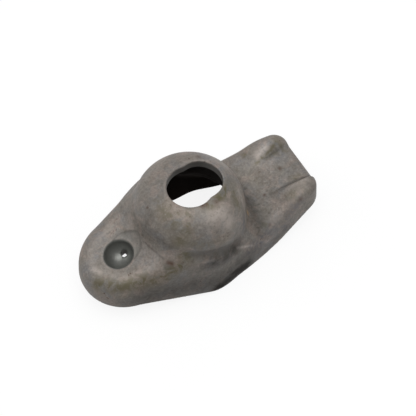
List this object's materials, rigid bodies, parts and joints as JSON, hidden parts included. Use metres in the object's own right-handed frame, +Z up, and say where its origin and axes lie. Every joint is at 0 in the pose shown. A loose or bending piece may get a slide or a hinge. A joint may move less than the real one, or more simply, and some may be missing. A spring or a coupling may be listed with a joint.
{
  "type": "rocker arm",
  "caption": "Pressed sheet-steel rocker arm: boat-shaped tray with a slotted pivot dome, a pushrod cup at one end and a railed valve pad at the other.",
  "frame": {"origin": "pivot centre: the point on the dome's axis at the centre height of the ball seat", "axes": "+X from the pivot to the valve end, +Z up out of the dome's crown, +Y across the arm; the arm lies dome up on the lowest stretch of its rim"},
  "size_m": [0.0723, 0.035, 0.0312],
  "materials": {
    "pressed_steel": "used pressed steel, warm dull grey, oil-stained with fine rust-brown speckles"
  },
  "bodies": {
    "root": {"rocker_arm": "pressed_steel"}
  },
  "joints": []
}
